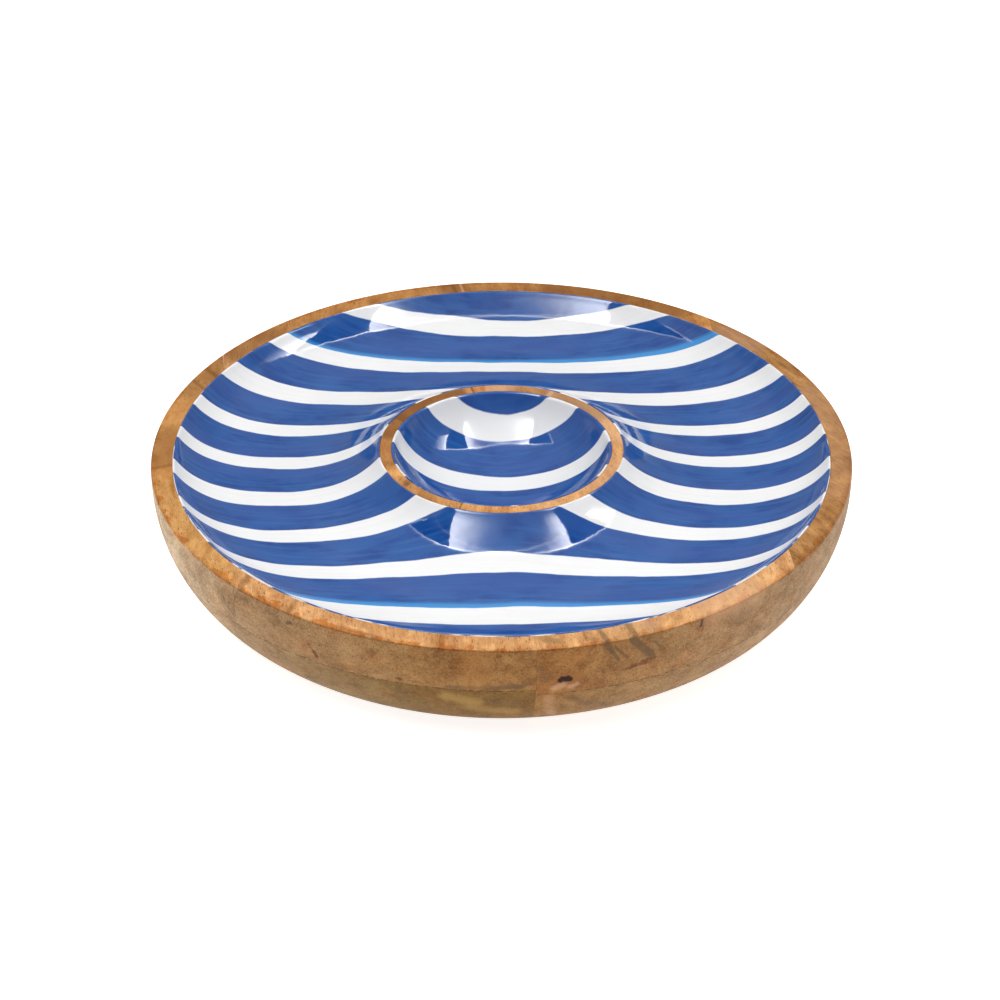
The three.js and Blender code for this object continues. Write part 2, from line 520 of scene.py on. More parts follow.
def grain_space(graph, place, look):
    """Coordinates along and across the board's grain, gently bent."""
    turned = graph.add("ShaderNodeVectorRotate", rotation_type="Z_AXIS")
    graph.feed(turned.inputs["Vector"], place)
    graph.feed(turned.inputs["Angle"], -GRAIN_TURN + math.radians(look["slant"]))
    shift = tuple(step * look["seed"] for step in SEED_STEP)
    grain = graph.vector("ADD", turned.outputs[0], shift)
    drift = graph.centred(graph.noise(grain, **DRIFT, output="Color"))
    return graph.vector("ADD", grain, graph.vector("SCALE", drift, scale=DRIFT_MM))


def contrast(graph, pattern, strength, base):
    """A noise pattern, centred and scaled, on top of a base tone."""
    return graph.math("MULTIPLY_ADD", pattern, strength, graph.math("SUBTRACT", base, strength / 2))


def wood_tone(graph, grain, look, fibres, upright):
    """How light the wood is: rings round the pith, streaks and fibres along the grain,
    mottling and flames, and grit on upright faces."""
    shift = tuple(step * look["seed"] for step in SEED_STEP)
    pith = (look["pith"][0] + shift[0], 0, look["pith"][1] + shift[2])
    from_pith = graph.vector("MULTIPLY", graph.vector("SUBTRACT", grain, pith), (1, 0, 1))
    years = graph.math("DIVIDE", graph.vector("LENGTH", from_pith), look["ring_mm"] / math.tau)
    tone = graph.math("MULTIPLY_ADD", graph.math("SINE", years), RING_CONTRAST, MIDDLE_TONE)
    tone = contrast(graph, graph.noise(grain, **STREAKS), STREAK_CONTRAST, tone)
    tone = contrast(graph, fibres, FIBRE_CONTRAST, tone)
    tone = contrast(graph, graph.noise(grain, **MOTTLE), MOTTLE_CONTRAST, tone)
    tone = contrast(graph, graph.noise(grain, **FLAME), FLAME_CONTRAST, tone)
    grit = graph.math("SUBTRACT", graph.noise(grain, **GRIT), 0.5)
    grit = graph.math("MULTIPLY", grit, upright)
    tone = graph.math("MULTIPLY_ADD", grit, GRIT_CONTRAST, tone)
    return graph.math("MULTIPLY", tone, 1, clamp=True)


def top_wood(graph, tone, place, radius, look):
    """The colour of the rim and the ring: the ring is yellower on the left, and the rim is
    redder at the back."""
    x, y, _ = graph.split(place)
    colour = graph.mix(tone, *look["top"])
    leftwards = graph.remap(x, *RING_TINT_REACH, RING_TINT_LEAST, 1)
    on_ring = graph.math("MULTIPLY", graph.remap(radius, *RING_REACH), leftwards)
    colour = graph.mix(on_ring, colour, RING_TINT, "MULTIPLY")
    return graph.mix(graph.remap(y, *BACK_REACH), colour, BACK_TINT, "MULTIPLY")


def side_wood(graph, tone, place, grain, look):
    """The colour of the side: paler towards the ends, partly the wood's tone and partly painted
    sheen, darker towards the middle, a painted sheen at the left end, and warm clouds."""
    x = graph.split(place)[0]
    from_middle = graph.math("ABSOLUTE", x)
    colour = graph.mix(tone, *look["side"])
    # Paler ends of the side: partly the wood's tone, partly painted sheen seen at a grazing angle.
    pale_ends_and_sheen = graph.remap(from_middle, *PALE_ENDS_AND_SHEEN_REACH)
    colour = graph.mix(pale_ends_and_sheen, colour, graph.mix(tone, *PALE_AND_SHEEN_SIDE))
    # The side is darker towards its middle.
    middle_darkening = graph.remap(from_middle, *MIDDLE_DARKENING_REACH)
    colour = graph.mix(middle_darkening, colour, MIDDLE_DARKENING, "MULTIPLY")
    # Painted sheen on the side's left end.
    colour = graph.mix(graph.remap(x, *LEFT_SHEEN_REACH), colour, LEFT_SHEEN, "MULTIPLY")
    warm = graph.remap(graph.noise(grain, **WARM_CLOUDS), *WARM_REACH, 0, WARM_STRENGTH)
    return graph.mix(warm, colour, WARM_TINT, "MULTIPLY")


def wood_pores(graph, grain):
    """Short pores along the grain: one inside a pore and zero outside it."""
    reach, lot = graph.cells(grain, PORE_STRETCH)
    chosen = graph.remap(graph.split(lot)[0], *PORE_CHOICE)
    return graph.math("MULTIPLY", graph.remap(reach, *PORE_REACH), chosen)


def add_pores(graph, colour, grain, pores):
    """Dark pores, and the finer specks between them."""
    specks = graph.remap(graph.noise(grain, **SPECKS), *SPECK_REACH, 0, SPECK_STRENGTH)
    colour = graph.mix(graph.math("MULTIPLY", pores, PORE_STRENGTH), colour, GLUE)
    return graph.mix(specks, colour, graph.mix(SPECK_DEPTH, colour, GLUE))


def rub_edge(graph, colour, place, radius, strength):
    """The rim's outer edge, rubbed to a dark orange in a band of wandering width."""
    worn = graph.noise(place, **RUBBING)
    width = graph.remap(worn, *RUBBING_RANGE, *RUBBING_WIDTH, smooth=False)
    within_band = graph.math("SUBTRACT", radius, OUTER_RADIUS / MM)
    within_band = graph.math("ADD", within_band, width)
    rubbed = graph.remap(within_band, *RUBBING_FADE, 0, strength)
    z = graph.split(place)[2]
    near_top = graph.remap(z, *(HEIGHT / MM - drop for drop in RUBBING_DROP))
    return graph.mix(graph.math("MULTIPLY", rubbed, near_top), colour, EDGE_WEAR, "MULTIPLY")


def add_glue_line(graph, colour, place, course):
    """The broken dark line where the two courses of boards meet."""
    level = graph.math("SUBTRACT", graph.split(place)[2], course / MM)
    gaps = graph.noise(place, **GLUE_GAPS)
    half_width = graph.remap(gaps, *GLUE_RANGE, *GLUE_HALF_WIDTH)
    inside = graph.math("SUBTRACT", half_width, graph.math("ABSOLUTE", level))
    cover = graph.remap(inside, *GLUE_FADE, 0, GLUE_STRENGTH)
    return graph.mix(cover, colour, GLUE)


def wood_material(name, look, course):
    """Oiled mango wood in one board's own tones, with its pores, wear, marks and glue."""
    material, graph = new_material(name)
    place = graph.place()
    radius = graph.vector("LENGTH", graph.vector("MULTIPLY", place, (1, 1, 0)))
    grain = grain_space(graph, place, look)
    normal = graph.add("ShaderNodeNewGeometry").outputs["Normal"]
    upright = graph.remap(graph.split(normal)[2], *UPRIGHT_NORMAL)
    fibres = graph.noise(grain, **FIBRES)
    pores = wood_pores(graph, grain)

    tone = wood_tone(graph, grain, look, fibres, upright)
    top_colour = top_wood(graph, tone, place, radius, look)
    # The side takes darker tones than the top: partly the wood's own colour, partly painted shade.
    colour = graph.mix(upright, top_colour, side_wood(graph, tone, place, grain, look))
    colour = add_pores(graph, colour, grain, pores)
    colour = rub_edge(graph, colour, place, radius, look["wear"])
    colour = add_marks(graph, colour, place, look["marks"])
    colour = add_glue_line(graph, colour, place, course)

    roughness = graph.remap(fibres, *FIBRE_RANGE, *WOOD_ROUGHNESS, smooth=False)
    height = graph.math("SUBTRACT", graph.math("MULTIPLY", fibres, FIBRE_RELIEF), pores)
    finish = {"IOR": WOOD_IOR, "Specular_IOR_Level": WOOD_SHINE}
    graph.surface(colour, roughness, height, WOOD_RELIEF_MM, **finish)
    return material


# Dark and light tones of each board, on top and on its side. The side's tones are about half as
# light as the top's: partly the wood's own darker end grain, partly painted shade of a face that
# the overhead light reaches less. The lower left boards' olive side is darker still, as painted
# shade against the floor's glow from below.
FRONT_TOP = ((0.38, 0.15, 0.042), (0.865, 0.495, 0.217))
COARSE_TOP = ((0.16, 0.055, 0.011), (0.57, 0.29, 0.1))
LEFT_TOP = ((0.34, 0.133, 0.027), (0.79, 0.443, 0.162))
FRONT_SIDE = ((0.19, 0.089, 0.029), (0.42, 0.235, 0.09))
PINK_SIDE = ((0.197, 0.083, 0.025), (0.422, 0.217, 0.075))
# Paler tones for the side's ends: partly the wood's own tone, partly painted sheen of the white
# surroundings.
PALE_AND_SHEEN_SIDE = ((0.25, 0.138, 0.064), (0.5, 0.33, 0.178))
# Darker, as painted shade against the floor's glow on the lower part of the side.
OLIVE_SIDE = ((0.132, 0.069, 0.016), (0.268, 0.157, 0.048))
DUSKY_SIDE = ((0.19, 0.096, 0.032), (0.376, 0.213, 0.078))

# Marks on each board: two ends, half width, softness, tint and strength.
UPPER_LEFT_MARKS = [
    (on_side(262, 39.9), on_side(273, 41.2), 1.5, 0.5, STAIN, 0.6),
    (on_side(268, 40.2), on_side(274.5, 43), 1.7, 0.6, STAIN, 0.4),
    (on_side(266, 59), on_side(266, 42), 7, 0.5, ORANGE, 0.16),
    (on_side(239.5, 49), on_side(240.2, 45.6), 0.8, 0.7, RED_MARK, 0.5),
    (on_side(240.3, 45.2), on_side(240.6, 42.8), 1.1, 0.6, RED_MARK, 0.85),
    (on_side(242.5, 41.5), on_side(245.2, 39.9), 2.2, 0.8, RED_MARK, 0.25),
    (on_side(235.8, 57.2), on_side(236.3, 57.6), 1.0, 0.6, STAIN, 0.9),
    (on_side(232.3, 59), on_side(234.3, 55.6), 2.1, 0.8, STAIN, 0.35),
    (on_side(250.3, 55.4), on_side(250.5, 55.2), 0.7, 0.6, STAIN, 0.6),
    (on_side(254.2, 41.4), on_side(254.5, 41.2), 0.8, 0.6, KNOT, 0.6),
    (on_top(102, 172), on_top(132, 172), 13, 0.6, BROWN, 0.3),
    (on_top(138, 172), on_top(146, 172), 11, 0.6, BROWN, 0.6),
    (on_top(85, 172), on_top(99, 172), 9, 0.6, BROWN, 0.6),
    (on_top(98.6, 165), on_top(99.1, 178), 1.1, 0.5, BROWN, 0.8),
    (on_top(97.3, 165), on_top(97.6, 178), 0.7, 0.5, PALE, 0.6),
    (on_top(116, 60), on_top(146, 60), 8, 0.35, BROWN, 0.82),
    (on_top(155, 60), on_top(166, 60), 8, 0.5, BROWN, 0.72),
    (on_top(172, 60), on_top(192, 60), 8, 0.5, BROWN, 0.35),
    (on_top(218, 60), on_top(232, 60), 7, 0.6, BROWN, 0.4),
    (on_top(105, 56), on_top(105, 63), 0.8, 0.5, BROWN, 0.8),
    (on_top(153, 56), on_top(153, 63), 0.7, 0.5, BROWN, 0.7),
    (on_top(217, 58.5), on_top(217.5, 60), 1.4, 0.7, RED_MARK, 0.75),
    (on_top(214.5, 57), on_top(215, 59), 0.9, 0.7, RED_MARK, 0.45),
    (on_top(250, 56), on_top(250.4, 63), 0.4, 0.6, KNOT, 0.75),
    (on_top(224, 166), on_top(226, 178), 1.8, 0.7, BROWN, 0.55),
    (on_top(235, 166), on_top(236, 178), 1.3, 0.7, BROWN, 0.45),
    (on_top(214, 175), on_top(222, 177), 1.6, 0.7, BROWN, 0.5),
    (on_top(245, 176), on_top(251, 177), 1.2, 0.7, BROWN, 0.45),
]
UPPER_RIGHT_MARKS = [
    (on_side(278.9, 44.4), on_side(280.2, 44.6), 4.4, 0.9, HALO, 0.62),
    (on_side(278.9, 44), on_side(280.2, 44.2), 1.5, 0.3, KNOT, 0.98),
    (on_side(279.1, 45.2), on_side(279.9, 45.3), 1.4, 0.3, KNOT, 0.98),
    (on_side(278, 39), on_side(279.2, 40.6), 1.7, 0.9, PALE, 0.5),
    (on_side(280.4, 39), on_side(281.4, 40.4), 1.4, 0.9, PALE, 0.45),
    (on_side(275.8, 52), on_side(276.5, 45), 1.6, 0.8, STAIN, 0.35),
    (on_side(277.2, 49), on_side(277.6, 46), 1.2, 0.8, STAIN, 0.3),
    (on_side(285.2, 47.2), on_side(285.4, 45.6), 0.7, 0.6, STAIN, 0.6),
    (on_side(301.4, 58.8), on_side(301.6, 61.6), 0.8, 0.4, KNOT, 0.95),
    (on_side(301.6, 55.6), on_side(301.8, 58.4), 0.5, 0.6, RED_MARK, 0.6),
    (on_side(309, 52.5), on_side(311.5, 56), 2.4, 0.8, STAIN, 0.3),
    (on_top(285.4, 166), on_top(285.9, 178), 1.3, 0.6, STAIN, 0.6),
    (on_side(285.6, 62.5), on_side(286.6, 58), 1.4, 0.5, STAIN, 0.6),
    (on_side(286.2, 59), on_side(287.7, 52), 0.9, 0.4, STAIN, 0.72),
    (on_side(287.1, 59.6), on_side(289, 52.4), 0.8, 0.4, STAIN, 0.68),
    (on_top(290.3, 166), on_top(290.4, 178), 1.5, 0.6, STAIN, 0.6),
    (on_side(290, 61.5), on_side(292.9, 51.4), 2.0, 0.35, STAIN, 0.72),
    (on_side(293.4, 58), on_side(294.3, 54.6), 0.7, 0.5, STAIN, 0.6),
    (on_side(288.4, 45), on_side(290.4, 45.8), 0.8, 0.7, RED_MARK, 0.55),
    (on_side(290, 46.4), on_side(292.2, 46.8), 1.0, 0.7, RED_MARK, 0.65),
    (on_side(291.6, 48), on_side(293.6, 48.6), 0.9, 0.7, RED_MARK, 0.7),
    (on_side(292.2, 46), on_side(293.2, 46.6), 0.7, 0.7, RED_MARK, 0.5),
    (on_top(276.5, 170), on_top(278.5, 173), 2.4, 0.8, STAIN, 0.5),
    (on_top(283, 173), on_top(284.2, 175), 1.6, 0.8, STAIN, 0.35),
    (on_top(292.5, 170), on_top(294.5, 173), 2.8, 0.7, PALE, 0.5),
    (on_top(34, 60), on_top(60, 60), 8, 0.3, DUN, 0.8),
    (on_top(10, 60), on_top(22, 60), 8, 0.6, PALE, 0.4),
    (on_top(326, 60), on_top(344, 60), 8, 0.6, PALE, 0.3),
    (on_top(71, 60), on_top(83, 60), 6, 0.5, BROWN, 0.45),
    (on_top(64, 55), on_top(64.5, 64), 1.4, 0.6, PALE, 0.7),
    (on_top(88, 60), on_top(98, 60), 6, 0.6, PALE, 0.5),
    (on_top(57, 172), on_top(78, 172), 13, 0.6, BROWN, 0.72),
    (on_top(83, 172), on_top(95, 172), 9, 0.6, BROWN, 0.4),
    (on_top(304, 172), on_top(312, 172), 8, 0.8, PALE, 0.5),
    (on_top(287, 174), on_top(293, 174), 6, 0.8, STAIN, 0.22),
]
RIGHT_EDGE_MARKS = [
    (on_top(2, 172), on_top(-14, 172), 9, 0.8, PALE, 0.2),
    (on_top(8, 172), on_top(18, 172), 9, 0.8, PALE, 0.25),
    (on_top(38, 172), on_top(44, 172), 9, 0.8, PALE, 0.35),
]
LEFT_EDGE_MARKS = [
    (on_top(148, 172), on_top(160, 172), 11, 0.7, BROWN, 0.45),
    (on_top(167, 172), on_top(188, 172), 9, 0.6, ORANGE, 0.5),
    (on_top(176, 172), on_top(184, 172), 9, 0.7, BROWN, 0.5),
    (on_top(155, 166), on_top(153, 178), 1.4, 0.7, BROWN, 0.7),
    (on_top(160, 166), on_top(157.5, 178), 1.2, 0.7, BROWN, 0.6),
    (on_top(186, 166), on_top(187, 178), 1.2, 0.7, BROWN, 0.5),
]
LOWER_LEFT_MARKS = [
    (on_side(261.5, 33), on_side(266, 29), 3.4, 0.8, GOLD, 0.55),
    (on_side(265, 24), on_side(272, 21), 3.2, 0.8, GOLD, 0.4),
    (on_side(268, 32), on_side(273, 27), 3.0, 0.8, STAIN, 0.22),
]
LOWER_RIGHT_MARKS = [
    (on_side(281, 30), on_side(284, 22), 2.2, 0.8, STAIN, 0.4),
    (on_side(284.5, 24), on_side(288, 16), 2.6, 0.8, STAIN, 0.4),
    (on_side(277.2, 32), on_side(278.2, 14), 2.2, 0.8, PALE, 0.25),
]

# Each board's tones, the place of its pith across and above the base's centre, the spacing
# of its rings in millimetres, the slant of its grain in degrees, its seed, the strength of
# the wear on its rim, and its marks.
BOARDS = {
    "upper_left_edge": {
        "top": LEFT_TOP, "side": FRONT_SIDE, "pith": (-190, -60), "ring_mm": 7, "slant": 5,
        "seed": 1, "wear": 0.75, "marks": LEFT_EDGE_MARKS,
    },
    "upper_left": {
        "top": FRONT_TOP, "side": FRONT_SIDE, "pith": (-60, -40), "ring_mm": 9, "slant": 0,
        "seed": 2, "wear": 0.8, "marks": UPPER_LEFT_MARKS,
    },
    "upper_right": {
        "top": FRONT_TOP, "side": PINK_SIDE, "pith": (40, -30), "ring_mm": 8, "slant": -2,
        "seed": 3, "wear": 0.55, "marks": UPPER_RIGHT_MARKS,
    },
    "upper_right_edge": {
        "top": COARSE_TOP, "side": PINK_SIDE, "pith": (200, -10), "ring_mm": 6, "slant": -28,
        "seed": 4, "wear": 0.5, "marks": RIGHT_EDGE_MARKS,
    },
    "lower_left_edge": {
        "top": FRONT_TOP, "side": OLIVE_SIDE, "pith": (-150, 90), "ring_mm": 8, "slant": 2,
        "seed": 5, "wear": 0.0, "marks": [],
    },
    "lower_left": {
        "top": FRONT_TOP, "side": OLIVE_SIDE, "pith": (-80, 100), "ring_mm": 9, "slant": -3,
        "seed": 6, "wear": 0.0, "marks": LOWER_LEFT_MARKS,
    },
    "lower_right": {
        "top": FRONT_TOP, "side": DUSKY_SIDE, "pith": (70, 110), "ring_mm": 9, "slant": 3,
        "seed": 7, "wear": 0.0, "marks": LOWER_RIGHT_MARKS,
    },
    "lower_right_edge": {
        "top": FRONT_TOP, "side": DUSKY_SIDE, "pith": (170, 80), "ring_mm": 7, "slant": -2,
        "seed": 8, "wear": 0.0, "marks": [],
    },
}


def make_boards():
    """The eight boards, each cut from the turned blank and given its own wood."""
    blank = revolved(wood_profile(), closed=False)
    joints = [None, *COLUMN_JOINTS, None]
    columns = ("left_edge", "left", "right", "right_edge")
    for name, look in BOARDS.items():
        level, column = name.split("_", 1)
        place = columns.index(column)
        course = LEFT_COURSE if column.startswith("left") else RIGHT_COURSE
        bottom, top = (course, None) if level == "upper" else (None, course)
        mesh = board_mesh(blank, joints[place], joints[place + 1], bottom, top)
        piece = finished(f"{name}_wood", mesh)
        piece.data.materials.append(wood_material(f"mango_{name}", look, course))
        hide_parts(f"{name}_board")
        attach(piece, "root")
    blank.free()


# ---------------- striped resin

# Each painted white stripe: where it crosses the middle, its width, and its tilt.
TROUGH_STRIPES = (
    (149.6, 11.2, -0.014),
    (115.9, 10.5, -0.009),
    (82.1, 13.0, -0.005),
    (48.7, 10.4, 0.0),
    (16.9, 10.8, 0.008),
    (-17.3, 13.5, 0.009),
    (-51.3, 11.0, 0.010),
    (-83.7, 11.4, 0.013),
    (-121.8, 15.4, 0.008),
)
BOWL_STRIPES = (
    (44.3, 10.7, -0.01),
    (10.9, 11.7, 0.0),
    (-22.6, 11.5, 0.0),
)

# Pale blue shadows of two stripes: where each runs, and how far it spreads.
SKY_EDGES = ((121.6, 3.4), (-113.6, 4.2))
SKY_SPREAD = (1.15, 0.2)
SKY_STRENGTH = 0.85

# Up the outer wall the stripes bend away from the middle by this share of their distance.
TAPE_BEND = 0.032
TAPE_BEND_POWER = 4
TAPE_BEND_RADII = (135, 167)

# How the brush wanders across a stripe's edge, in millimetres, and how soft the edge is.
SWAY = {"stretch": (0.022, 0.05, 1), "detail": 1}
SWAY_MM = 4.0
TREMBLE = {"stretch": (0.08, 0.06, 1), "detail": 2}
TREMBLE_MM = 0.9
STRIPE_EDGE = 0.28

# The paint's brush streaks, clouds and broad bands, and where each shows in full.
BRUSH_STREAKS = {"stretch": (0.03, 0.4, 1), "detail": 3, "roughness": 0.5}
CLOUDS = {"stretch": (0.045, 0.09, 1), "detail": 3, "roughness": 0.6}
BANDS = {"stretch": (0.006, 0.035, 1), "detail": 1}
CLOUD_REACH = (0.3, 0.62)
STREAK_REACH = (0.45, 0.7)
STREAK_STRENGTH = 0.45
BAND_REACH = (0.42, 0.62)
BAND_STRENGTH = 0.6
VEIN_REACH = (0.35, 0.75)
VEIN_STRENGTH = 0.5

# The white at a lip, partly the bare white base and partly a painted highlight of the resin's
# bead: how patchy it is, and how far in from the lip it starts to show and is full, in millimetres.
LIP_PATCHES = {"stretch": (0.07, 0.07, 1), "detail": 3}
TROUGH_LIP_REACH = (0.47, 0.61)
# In the dip bowl this white is a painted highlight of the bead.
BOWL_LIP_REACH = (0.62, 0.72)
LIP_INSET = (0.45, 0.3)

# The clear coat: fine ripples, gloss, and the slow waves of a surface poured by hand.
RIPPLES = {"stretch": (0.16, 0.16, 0.16), "detail": 1, "roughness": 0.4}
GLOSS_RANGE = (0.3, 0.7)
RESIN_ROUGHNESS = (0.03, 0.06)
RIPPLE_MM = 0.07
RESIN_IOR = 1.5
RESIN_SHINE = 0.74
WAVE_HEIGHT = 0.12 * MM
WAVE_LENGTH = 24 * MM
WAVE_FADE = 12 * MM
TROUGH_SEED = 3
BOWL_SEED = 8

WHITE = (0.86, 0.855, 0.85)
# The dip bowl's white is darker than the trough's: painted shade of the deeper hollow.
SHADED_BOWL_WHITE = (0.8, 0.8, 0.8)
VEINED_WHITE = (0.8, 0.8, 0.8)
BLUE = (0.018, 0.09, 0.325)
DEEP_BLUE = (0.007, 0.053, 0.248)
PALE_BLUE = (0.036, 0.135, 0.385)
VIOLET_BLUE = (0.034, 0.09, 0.32)
SKY_BLUE = (0.05, 0.3, 0.68)


def across_stripes(graph, flat, radius):
    """How far a point lies from the middle, as the tape and the brush see it."""
    sway = graph.math("SUBTRACT", graph.noise(flat, **SWAY), 0.5)
    tremble = graph.math("SUBTRACT", graph.noise(flat, **TREMBLE), 0.5)
    climb = graph.remap(radius, *TAPE_BEND_RADII, smooth=False)
    climb = graph.math("POWER", climb, TAPE_BEND_POWER)
    stretch = graph.math("MULTIPLY_ADD", climb, TAPE_BEND, 1)
    taped = graph.math("MULTIPLY", graph.split(graph.place())[1], stretch)
    swayed = graph.math("MULTIPLY_ADD", sway, SWAY_MM, taped)
    return graph.math("MULTIPLY_ADD", tremble, TREMBLE_MM, swayed)


def blue_paint(graph, flat, streaks, brushed, sky_edges):
    """Clouded blue with brush streaks, violet bands and pale shadows beside stripes."""
    clouds = graph.remap(graph.noise(flat, **CLOUDS), *CLOUD_REACH)
    bands = graph.remap(graph.noise(flat, **BANDS), *BAND_REACH, 0, BAND_STRENGTH)
    blue = graph.mix(clouds, DEEP_BLUE, BLUE)
    blue = graph.mix(graph.remap(streaks, *STREAK_REACH, 0, STREAK_STRENGTH), blue, PALE_BLUE)
    blue = graph.mix(bands, blue, VIOLET_BLUE)
    for edge, reach in sky_edges:
        over = graph.math("ABSOLUTE", graph.math("SUBTRACT", brushed, edge))
        limits = (SKY_SPREAD[0] * reach, SKY_SPREAD[1] * reach)
        blue = graph.mix(graph.remap(over, *limits, 0, SKY_STRENGTH), blue, SKY_BLUE)
    return blue


def stripe_cover(graph, brushed, stripes):
    """One on the white stripes and zero between them."""
    x = graph.split(graph.place())[0]
    total = None
    for centre, width, tilt in stripes:
        across = graph.math("MULTIPLY_ADD", x, -tilt, graph.math("SUBTRACT", brushed, centre))
        past_edge = graph.math("SUBTRACT", graph.math("ABSOLUTE", across), width / 2)
        cover = graph.remap(past_edge, STRIPE_EDGE, -STRIPE_EDGE)
        total = cover if total is None else graph.math("MAXIMUM", total, cover)
    return total


def striped_resin(name, white, stripes, sky_edges, lip_reach, lip_radius):
    """Hand-painted white stripes on blue under clear gloss, with brushed streaks. Along the outer
    lip white shows here and there: partly the bare white base, partly a painted highlight of the
    bead."""
    material, graph = new_material(name)
    flat = graph.vector("MULTIPLY", graph.place(), (1, 1, 0))
    radius = graph.vector("LENGTH", flat)
    brushed = across_stripes(graph, flat, radius)
    streaks = graph.noise(flat, **BRUSH_STREAKS)
    blue = blue_paint(graph, flat, streaks, brushed, sky_edges)

    patchy = graph.remap(graph.noise(flat, **LIP_PATCHES), *lip_reach)
    at_lip = graph.remap(radius, *(lip_radius - inset for inset in LIP_INSET))
    # White at the lip: partly bare base, partly a painted highlight of the bead.
    lip_white_and_highlight = graph.math("MULTIPLY", at_lip, patchy)
    white_cover = graph.math("MAXIMUM", stripe_cover(graph, brushed, stripes), lip_white_and_highlight)
    veins = graph.remap(streaks, *VEIN_REACH, 0, VEIN_STRENGTH)
    colour = graph.mix(white_cover, blue, graph.mix(veins, white, VEINED_WHITE))

    ripples = graph.noise(graph.place(), **RIPPLES)
    roughness = graph.remap(streaks, *GLOSS_RANGE, *RESIN_ROUGHNESS, smooth=False)
    finish = {"IOR": RESIN_IOR, "Specular_IOR_Level": RESIN_SHINE}
    graph.surface(colour, roughness, ripples, RIPPLE_MM, **finish)
    return material


def rippled(mesh, least_radius, most_radius, seed):
    """The hand-poured surface: slow waves that fade out towards the lips. A lining with no
    inner lip has its least radius at minus infinity."""
    for vertex in mesh.verts:
        radius = math.hypot(vertex.co.x, vertex.co.y)
        inset = min(radius - least_radius, most_radius - radius) / WAVE_FADE
        fade = min(max(inset, 0), 1)
        spot = Vector((vertex.co.x, vertex.co.y, seed)) / WAVE_LENGTH
        vertex.co.z += WAVE_HEIGHT * noise.noise(spot) * fade


def lining(name, surface, smooth_surface, radii, seed, paint):
    """A poured lining: its surface, and an underside that follows it."""
    underside = sunken(smooth_surface, COAT, radii[0], radii[1])
    closed = surface[0][0] > 0
    mesh = revolved(underside + surface[::-1], closed)
    rippled(mesh, radii[0] if closed else -math.inf, radii[1], seed)
    piece = finished(name, mesh)
    piece.data.materials.append(striped_resin(f"{name}_paint", *paint, radii[1] / MM))
    return piece


def make_linings():
    """The linings of the trough and of the dip bowl."""
    trough_radii = (RING_OUTER_RADIUS + SEAM, RIM_INNER_RADIUS - SEAM)
    surfaces = (trough_surface(TROUGH_STEPS, bead=True), trough_surface(UNDERSIDE_STEPS))
    paint = (WHITE, TROUGH_STRIPES, SKY_EDGES, TROUGH_LIP_REACH)
    trough = lining("trough_lining", *surfaces, trough_radii, TROUGH_SEED, paint)
    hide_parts("trough_coat")
    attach(trough, "root")

    bowl_radii = (0, RING_INNER_RADIUS - SEAM)
    surfaces = (bowl_surface(BOWL_STEPS, bead=True), bowl_surface(UNDERSIDE_STEPS))
    # The bowl's white carries painted shade.
    paint = (SHADED_BOWL_WHITE, BOWL_STRIPES, (), BOWL_LIP_REACH)
    bowl = lining("bowl_lining", *surfaces, bowl_radii, BOWL_SEED, paint)
    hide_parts("bowl_coat")
    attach(bowl, "root")


# ---------------- stage and light

CAMERA_DISTANCE = 8 * OUTER_RADIUS
CAMERA_ELEVATION = math.radians(31.5)
CAMERA_PITCH = math.radians(32.6)
CAMERA_LENS = 100.5
CAMERA_OFFSET = -0.77 * MM
SENSOR_WIDTH = 36

# The overhead light: a glowing sheet, a little brighter over the server, that ends in a
# soft round edge.
SHEET_HEIGHT = 1.0
SHEET_SIZE = 3.4
SHEET_GLOW = 0.37
ZENITH_GLOW = 0.2
ZENITH_FADE = 500
SHEET_EDGE = (1100, 1600)

# The sheet has a dark opening on either side. An opening has an inner corner, a far edge
# that turns away and a near part that leans outwards, and its width can taper. Its lengths
# are in millimetres on the sheet, and its turns in degrees. The glow beside its inner side
# has a spread and that spread's growth ("fade"), the glow beside its outer side has a
# strength, a spread and a length ("outer"), and the bright line along its far edge has a
# half width ("edge").
OPENINGS = (
    {
        "side": -1, "corner": (338, 8), "turn": 9, "lean": 29, "width": 460, "taper": 0.3,
        "fade": (130, 0.33), "outer": (5.44, 18, 330), "edge": 17,
    },
    {
        "side": 1, "corner": (412, 134), "turn": 22, "lean": 29, "width": 440, "taper": 0,
        "fade": (125, 0.03), "outer": (10.88, 160, 480), "edge": 15,
    },
)

# Shared by both openings. Distances back run from 0 at the far edge to negative ones at the
# front, and an end of a glow is where it starts to show and where it is full.
OPENING_LENGTH = 1300
OPENING_EDGE = 5
INNER_GLOW = 8.5
INNER_END = (-1150, -600)
INNER_START = (30, 0)
INNER_BLUR = 10
OUTER_START = 15
FAR_GLOW = 9.52
FAR_FADE = 420
FAR_END = (80, 0)

# The dim room round the sheet: its glow behind the camera and all round, and the height, as
# the upward part of a direction, where it ends.
ROOM_GLOW = 0.42
ROOM_BEHIND = 0.1
ROOM_TURN = (-0.9, -0.1)
ROOM_TOP = (0.52, 0.72)

# The pale floor.
FLOOR_HALF = 4.0
FLOOR_CELLS = 8
FLOOR_GLOW = 0.85
FLOOR_TONE = 0.62
FLOOR_GRAIN = {"stretch": (0.02, 0.02, 0.02), "detail": 2}
FLOOR_CONTRAST = 0.02
FLOOR_ROUGHNESS = 0.9
FLOOR_RELIEF_MM = 0.01
FLOOR_SHINE = 0.1


